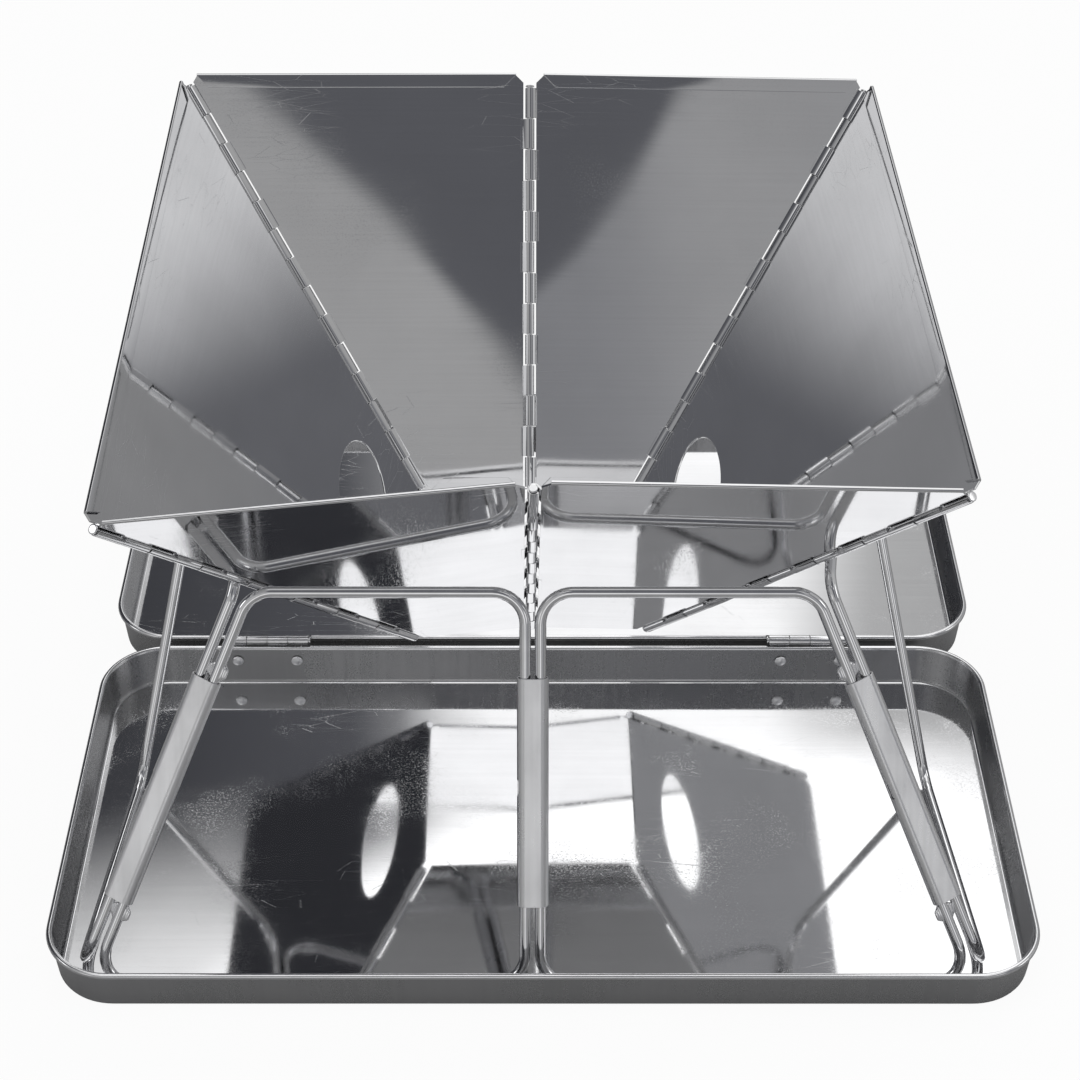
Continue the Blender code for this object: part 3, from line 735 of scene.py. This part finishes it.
def makeRivets():
    low, high = rivet["grip"]
    start, steps = rivet["domeStart"], rivet["domeSteps"]
    dome = []
    for i in range(steps):
        turn = math.radians(start + (90 - start) * i / steps)
        dome.append((rivet["head"] * math.sin(turn), low - rivet["dome"] * math.cos(turn)))
    shape = dome + [(rivet["head"], low), (rivet["shank"], low), (rivet["shank"], high)]
    shape += [(rivet["tail"], high), (rivet["tail"] * rivet["tailEase"], high + rivet["tailRise"])]
    stud = addBar("stud", shape, rivet["steps"])
    smooth(stud, limit=40)
    line = case["depth"] / 2 - rivet["wallIn"]
    for side, centre in case["hingeCentres"]:
        for spot, shift in (("outer", -1), ("inner", 1)):
            x = centre + shift * rimHinge["rivetSpread"]
            for owner, wall, way in (("base", line, 1), ("lid", 2 * case["hingeAxis"][0] - line, -1)):
                place = frameAlong((x, wall, rivet["height"]), (0, way, 0), (1, 0, 0))
                piece = copyOf(stud, "studCopy", place)
                name, node = f"{side}Rivet_{owner}_{spot}", f"{side}_{owner}_rivet_{spot}"
                dress(piece, name, node, owner, "rivet")
    bpy.data.objects.remove(stud, do_unlink=True)
    print("rivets done")


# Firebox: six sheet panels whose hinge lines all meet at one point under the bowl
firebox = {
    "apex": (-0.0053, 0.0892, 0.0022),
    "lines": {
        "front_left": (-0.491999, -0.548028, 0.676462),
        "rear_left": (-0.500769, 0.496423, 0.709080),
        "front_right": (0.508359, -0.509041, 0.694585),
        "rear_right": (0.498665, 0.535827, 0.681339),
        "front_centre": (0.008015, -0.583225, 0.812271),
        "rear_centre": (0.000724, 0.563315, 0.826242),
    },
    "sideAngle": 31.5,
    "halfAngle": 30.1,
    "start": 0.0864,
    "reach": 0.2762,
    "rise": 0.0042,
    "sheet": 0.0008,
    "setback": 0.0026,
    "cornerCut": 0.0030,
    "footCut": 0.0012,
    "hem": 0.0048,
    "fold": 0.00042,
    "foldSteps": 6,
    "vent": (0.003, 0.110, 0.033, 0.0145),  # toward the rear, up, half length, half width
    "ventSteps": 72,
    "ventCut": 0.02,  # the cutter's depth, far more than the sheet's
    "ventEase": 0.0003,
    "pin": 0.0010,
    "openPin": 0.0008,  # the front centre hinge's, which turns loosely
    "pinEnds": ((0.8, 0.0008), (0.75, 0.0007)),
}
knuckle = {
    "radius": 0.0021,
    "sheet": 0.0008,
    "gap": 0.0005,
    "inset": 0.0016,
    "corner": 14,
    "centre": 13,
    "join": 50,  # where the tongue meets the roll, in degrees
    "turn": 275,
    "steps": 14,
    "tongue": 0.0034,
    "root": 0.0001,  # how far outside the sheet's edge the tongue starts to bend
    "bend": 0.0011,  # from the roll's start back to the tongue's second bend
    "lean": 0.00024,  # how far a roll sits toward its own sheet
    "wobble": (1.5, 2.4),  # degrees, and the wave's step from roll to roll
}


def shapeKnuckle(length, up):
    # rolled from a tongue that comes in along X; the roll's axis is Y
    middle = knuckle["radius"] - knuckle["sheet"] / 2
    half = length / 2
    join = math.radians(knuckle["join"])
    meet = Vector((middle * math.cos(join), 0, up * middle * math.sin(join)))
    bend = meet + Vector((math.sin(join), 0, -up * math.cos(join))) * knuckle["bend"]
    spot = Vector((firebox["setback"] - knuckle["root"], 0, 0))
    roll = addPlane("roll", (spot.x, -half, 0), (knuckle["tongue"], half, 0))
    openEdit(roll)
    pick(roll, "EDGE", lambda end: end.x < firebox["setback"])
    for target in (bend, meet):
        pushOut(tuple(target - spot))
        spot = target
    turn = math.radians(knuckle["turn"])
    bpy.ops.mesh.spin(steps=knuckle["steps"], angle=turn, center=(0, 0, 0), axis=(0, up, 0))
    closeEdit()
    turnOut(roll)
    thicken(roll, knuckle["sheet"] * rollShare, easing["roll"])
    return roll


def hingeSpan(centre):
    share = math.cos(math.radians(firebox["halfAngle"])) if centre else 1.0
    return firebox["start"] * share + knuckle["inset"], firebox["reach"] * share - knuckle["inset"]


def knucklePlaces(centre, first):
    low, high = hingeSpan(centre)
    count = knuckle["centre"] if centre else knuckle["corner"]
    pitch = (high - low) / count
    return [low + (i + 0.5) * pitch for i in range(0 if first else 1, count, 2)], pitch - knuckle["gap"]


def shapePanel(edges, inner, hemmedFoot, vent):
    # edges: (angle, centre hinge, owns the first knuckle) for the low-X and the high-X edge
    share = math.cos(math.radians(max(abs(edge[0]) for edge in edges)))
    low, high = firebox["start"] * share, firebox["reach"] * share + firebox["rise"]
    fold, sheet = firebox["fold"], firebox["sheet"]
    top = high - fold - sheet / 2
    foot = low + fold + sheet / 2 if hemmedFoot else low

    def edgeX(i, y):
        angle = math.radians(edges[i][0])
        return math.tan(angle) * y + (firebox["setback"] / math.cos(angle)) * (1 if i == 0 else -1)

    panel = addPlane("panel", (-1, foot, 0), (1, top, 0))
    openEdit(panel)
    for i, start in ((0, -1), (1, 1)):
        for y in (foot, top):
            pickCorner(panel, (start, y, 0))
            slide((edgeX(i, y) - start, 0, 0))
    pick(panel, "VERT", lambda spot: spot.y > (top + foot) / 2)
    bpy.ops.mesh.bevel(affect="VERTICES", offset=firebox["cornerCut"], segments=1)
    folds = [(top, 1)]
    if hemmedFoot:
        pick(panel, "VERT", lambda spot: spot.y < (top + foot) / 2)
        bpy.ops.mesh.bevel(affect="VERTICES", offset=firebox["footCut"], segments=1)
        folds.append((foot, -1))
    for level, way in folds:
        pick(panel, "EDGE", lambda spot: abs(spot.y - level) < tolerance["line"])
        centre, axis = (0, level, inner * fold), (-inner * way, 0, 0)
        bpy.ops.mesh.spin(steps=firebox["foldSteps"], angle=math.pi, center=centre, axis=axis)
        pushOut((0, -way * firebox["hem"], 0))
        free = level - way * firebox["hem"]
        for left in (True, False):
            middle = edgeX(0, free) + edgeX(1, free)

            def isEnd(spot):
                reached = abs(spot.y - free) < tolerance["line"] and abs(spot.z) > fold
                return reached and (spot.x < middle / 2) == left

            pick(panel, "VERT", isEnd)
            slide((firebox["hem"] if left else -firebox["hem"], 0, 0))
    closeEdit()
    turnOut(panel)
    thicken(panel, sheet)
    if vent:
        back, up, length, width = firebox["vent"]
        bpy.ops.object.select_all(action="DESELECT")
        place, steps, deep = (vent * back, up, 0), firebox["ventSteps"], firebox["ventCut"]
        bpy.ops.mesh.primitive_cylinder_add(vertices=steps, radius=1, depth=deep, location=place)
        cutter = bpy.context.object
        cutter.scale = (length, width, 1)
        applyPlace()
        cutAway(panel, cutter)
        # the cut is eased on both faces
        openEdit(panel)

        def onRing(spot):
            # edges on the oval, on either face of the sheet
            place = ((spot.x - vent * back) / length) ** 2 + ((spot.y - up) / width) ** 2
            return abs(place - 1) < 0.01 and abs(spot.z) > sheet * 0.4

        pick(panel, "EDGE", onRing)
        bpy.ops.mesh.bevel(offset=firebox["ventEase"], segments=3)
        closeEdit()
    mapFlat(panel)
    smooth(panel, limit=30)

    most, step = knuckle["wobble"]
    rolls = []
    for i, (degrees, centre, first) in enumerate(edges):
        angle = math.radians(degrees)
        along = Vector((math.sin(angle), math.cos(angle), 0))
        inward = Vector((math.cos(angle), -math.sin(angle), 0)) * (1 if i == 0 else -1)
        places, length = knucklePlaces(centre, first)
        roll = shapeKnuckle(length, inner * (1 if i == 0 else -1))
        mapFlat(roll)
        smooth(roll, limit=30)
        for k, distance in enumerate(places):
            wobble = math.radians(most * math.sin(step * k + i))
            spot = along * distance + inward * knuckle["lean"]
            place = frameAt(spot, inward, along) @ Matrix.Rotation(wobble, 4, "Y")
            rolls.append(copyOf(roll, "rollCopy", place))
        bpy.data.objects.remove(roll, do_unlink=True)
    joinTo(panel, rolls)
    return panel


def makeFirebox():
    apex = firebox["apex"]
    lines = {name: Vector(line) for name, line in firebox["lines"].items()}
    side, half = firebox["sideAngle"], firebox["halfAngle"]
    # name, first and second hinge line, the vent's way, and whether the foot is hemmed
    panels = (
        ("left", "front_left", "rear_left", 1, False),
        ("right", "rear_right", "front_right", -1, False),
        ("rear_left", "rear_left", "rear_centre", 0, True),
        ("rear_right", "rear_centre", "rear_right", 0, True),
        ("front_left", "front_left", "front_centre", 0, False),
        ("front_right", "front_centre", "front_right", 0, False),
    )
    for name, first, second, vent, hemmedFoot in panels:
        if vent:
            up, across = lines[first] + lines[second], -lines[first]
            edges = ((-side, False, True), (side, False, True))
        elif "centre" in second:
            up, across = lines[second], -lines[first]
            edges = ((-half, False, False), (0, True, False))
        else:
            up, across = lines[first], lines[second]
            edges = ((0, True, True), (half, False, False))
        across = across - up * (across.dot(up) / up.dot(up))
        place = frameAt(apex, across, up)
        inner = 1 if place.col[2].z > 0 else -1
        panel = shapePanel(edges, inner, hemmedFoot, vent)
        settle(panel, place)
        words = name.split("_")
        title = words[0] + "".join(word.capitalize() for word in words[1:])
        dress(panel, title + "PanelSheet", name + "_panel", "firebox_" + name, "panel")
    carriers = {
        "front_left": "firebox_left",
        "rear_left": "firebox_left",
        "front_right": "firebox_right",
        "rear_right": "firebox_right",
        "front_centre": "firebox_front_right",
        "rear_centre": "firebox_rear_left",
    }
    for hinge, line in lines.items():
        radius = firebox["openPin"] if hinge == "front_centre" else firebox["pin"]
        pin = addBar("hingePin", pinProfile(radius, *hingeSpan("centre" in hinge), firebox["pinEnds"]))
        smooth(pin)
        settle(pin, frameAlong(apex, line, (1, 0, 0)))
        words = hinge.split("_")
        title = words[0] + words[1].capitalize() + "HingePin"
        dress(pin, title, hinge + "_pin", carriers[hinge], "bright")
    print("firebox done")


# Stand: wire frames that lean back, held in pairs by sheet sleeves
stand = {
    "shift": -0.0036,
    "wire": 0.0020,
    "pitch": 0.0053,
    "footY": -0.0800,
    "topY": -0.0205,
    "footZ": 0.0031,
    "topZ": 0.1311,
    "footWidth": 0.1522,
    "topWidth": 0.0935,
    "bend": 0.0110,
    "bendSteps": 10,
    "roundSteps": 4,
    "sideFoot": (0.0090, 0.1035),  # in and back
    "sideTop": (0.1160, 0.0260),  # back and up
    "sideTurn": 19.3,
    "panelGap": 0.0027,  # a wire's middle, from the middle of the panel it lies on
}
ear = {
    "places": (0.0290, 0.1230),
    "size": (0.0068, 0.0026, 0.0062),  # across the leg, through it and along it
    "middle": 0.62,  # share of the width before the ends are drawn out
    "inset": 0.18,  # share of the thickness
    "reach": 0.24,  # share of the width that each end adds
    "slant": 0.06,  # share of the height by which the ends are offset
    "ends": (0.75, 0.62),  # the ends' shares of the thickness and the height
    "ease": 0.12,  # share of the thickness
}
sleeve = {
    "sheet": 0.0006,
    "gap": 0.0002,
    "seam": 0.0020,
    "notch": (0.0060, 0.0009),  # length and depth of the cut halfway up
    "notchPlace": (0.52, 0.2),  # shares of the length and of the radius
    "centre": (0.0292, 0.0821),  # start and length along the leg
    "corner": (0.0330, 0.0860),
    "steps": 10,
}


def leftHalf():
    # foot and top of the front frame's legs, and the step from its outer leg to the side frame's
    near = stand["pitch"] / 2
    foot = Vector((-near, stand["footY"], stand["footZ"]))
    head = Vector((-near, stand["topY"], stand["topZ"]))
    outerFoot = Vector((-near - stand["footWidth"], stand["footY"], stand["footZ"]))
    outerHead = Vector((-near - stand["topWidth"], stand["topY"], stand["topZ"]))
    along = (outerHead - outerFoot).normalized()
    turn = math.radians(stand["sideTurn"])
    apart = Vector((-math.cos(turn), math.sin(turn), 0))
    apart = (apart - along * apart.dot(along)).normalized() * stand["pitch"]
    return foot, head, outerFoot, outerHead, along, apart


def onSide(point, side):
    return Vector((-side * point.x + stand["shift"], point.y, point.z))


def shapeLoop(name, corners):
    # a closed loop of wire: corners, then bends, then its thickness
    wire = addPlane(name, (-1, -1, 0), (1, 1, 0))
    openEdit(wire)
    for start, corner in zip(((-1, -1, 0), (1, -1, 0), (1, 1, 0), (-1, 1, 0)), corners):
        pickCorner(wire, start)
        slide(tuple(corner - Vector(start)))
    bpy.ops.mesh.select_all(action="SELECT")
    bpy.ops.mesh.delete(type="ONLY_FACE")
    count = len(corners)
    for i, corner in enumerate(corners):
        back = (corners[i - 1] - corner).normalized()
        ahead = (corners[(i + 1) % count] - corner).normalized()
        reach = stand["bend"] / math.tan(back.angle(ahead) / 2)
        pickCorner(wire, corner, tolerance["bend"])
        bpy.ops.mesh.bevel(affect="VERTICES", offset=reach, segments=stand["bendSteps"])
    closeEdit()
    bpy.ops.object.convert(target="CURVE")
    wire = bpy.context.object
    wire.data.bevel_depth = stand["wire"]
    wire.data.bevel_resolution = stand["roundSteps"]
    bpy.ops.object.convert(target="MESH")
    wire = bpy.context.object
    turnOut(wire)
    return wire


def addEars(wire, foot, along, out):
    # the wire is crimped flat at both ends of its sleeve
    ears = []
    wide, thick, tall = ear["size"]
    for i, distance in enumerate(ear["places"]):
        lump = addBox((0, 0, 0), (wide * ear["middle"], thick, tall))
        openEdit(lump)
        for way in (1, -1):
            pick(lump, "FACE", lambda spot: spot.x * way > wide * ear["middle"] / 4)
            bpy.ops.mesh.inset(thickness=thick * ear["inset"])
            pushOut((way * wide * ear["reach"], 0, way * tall * ear["slant"] * (1 - 2 * i)))
            bpy.ops.transform.resize(value=(1, *ear["ends"]), center_override=(0, 0, 0))
        bpy.ops.mesh.select_all(action="SELECT")
        bpy.ops.mesh.bevel(offset=thick * ear["ease"], segments=1)
        closeEdit()
        addModifier(lump, "SUBSURF", levels=2, render_levels=2)
        settle(lump, frameAlong(foot + along * distance, along, out))
        ears.append(lump)
    joinTo(wire, ears)


def shapeSleeve(start, length):
    # X runs from the first leg to the second and Y along them; the seam is on the low Z side
    sheet, pitch = sleeve["sheet"], stand["pitch"]
    radius = stand["wire"] + sleeve["gap"] + sheet / 2
    flat = addPlane("sleeve", (0, start, radius), (pitch, start + length, radius))
    openEdit(flat)
    for x, way in ((pitch, 1), (0.0, -1)):
        pick(flat, "EDGE", lambda spot: abs(spot.x - x) < tolerance["line"] and spot.z > 0)
        bpy.ops.mesh.spin(steps=sleeve["steps"], angle=math.pi, center=(x, 0, 0), axis=(0, -way, 0))
        pushOut((-way * (pitch - sleeve["seam"]) / 2, 0, 0))
    closeEdit()
    turnOut(flat)
    thicken(flat, sheet)
    long, deep = sleeve["notch"]
    up, over = sleeve["notchPlace"]
    side = radius + sheet / 2 - deep / 2
    cutAway(flat, addBox((-side, start + length * up, radius * over), (deep * 2, long, radius)))
    smooth(flat)
    return flat


def makeStand():
    foot, head, outerFoot, outerHead, along, apart = leftHalf()
    inAlong = (head - foot).normalized()

    def fitSleeve(span, name, node, body, place, up, across):
        tube = shapeSleeve(*span)
        # the sleeve's own Y runs along the legs
        settle(tube, frameAt(place, across, up))
        dress(tube, name, node, body, "sleeve")

    fitSleeve(
        sleeve["centre"], "centreSleeveSheet", "centre_sleeve",
        "stand_centre", onSide(foot, -1), inAlong, (1, 0, 0),
    )
    for name, side in (("left", -1), ("right", 1)):
        corners = [onSide(p, side) for p in (foot, outerFoot, outerHead, head)]
        wire = shapeLoop(name + "FrontWire", corners)
        up = (corners[2] - corners[1]).normalized()
        spread = onSide(apart, side) - onSide(Vector((0, 0, 0)), side)
        addEars(wire, corners[1], up, spread)
        smooth(wire, limit=50)
        dress(wire, name + "FrontWire", f"front_{name}_frame", f"stand_front_{name}", "wire")

        nearFoot, nearHead = outerFoot + apart, outerHead + apart
        nearFoot = nearFoot - along * (nearFoot.z - stand["footZ"]) / along.z
        farFoot = nearFoot + Vector((*stand["sideFoot"], 0))
        loop = [onSide(p, side) for p in (nearFoot, farFoot, nearHead)]
        spot = loop[2] + Vector((0, *stand["sideTop"]))
        lines = firebox["lines"]
        ends = [Vector(lines[f"{end}_{name}"]) for end in ("front", "rear")]
        normal = ends[0].cross(ends[1]).normalized()
        normal = -normal if normal.z > 0 else normal
        away = Vector(firebox["apex"])
        # the far top corner moves sideways until its wire lies on the panel
        x = stand["panelGap"] + normal.dot(away) - normal.y * spot.y - normal.z * spot.z
        loop.insert(2, Vector((x / normal.x, spot.y, spot.z)))
        wire = shapeLoop(name + "SideWire", loop)
        smooth(wire, limit=50)
        dress(wire, name + "SideWire", f"{name}_side_frame", f"stand_{name}_side", "wire")
        # both flat faces look forward, so the left sleeve is measured from its side frame's leg
        first, across = (corners[1], spread) if side > 0 else (corners[1] + spread, -spread)
        fitSleeve(
            sleeve["corner"], name + "CornerSleeveSheet", f"{name}_corner_sleeve",
            f"stand_{name}_corner", first, up, across,
        )
    print("stand done")


addCamera()
lightWorld()
addLamps()
addFloor()
finishes = {name: makeSteel(name, "UV" if name == "panel" else "Object") for name in steels}
makeTrays()
makeRimHinges()
makeRivets()
makeFirebox()
makeStand()

bpy.context.scene.view_settings.view_transform = "Standard"
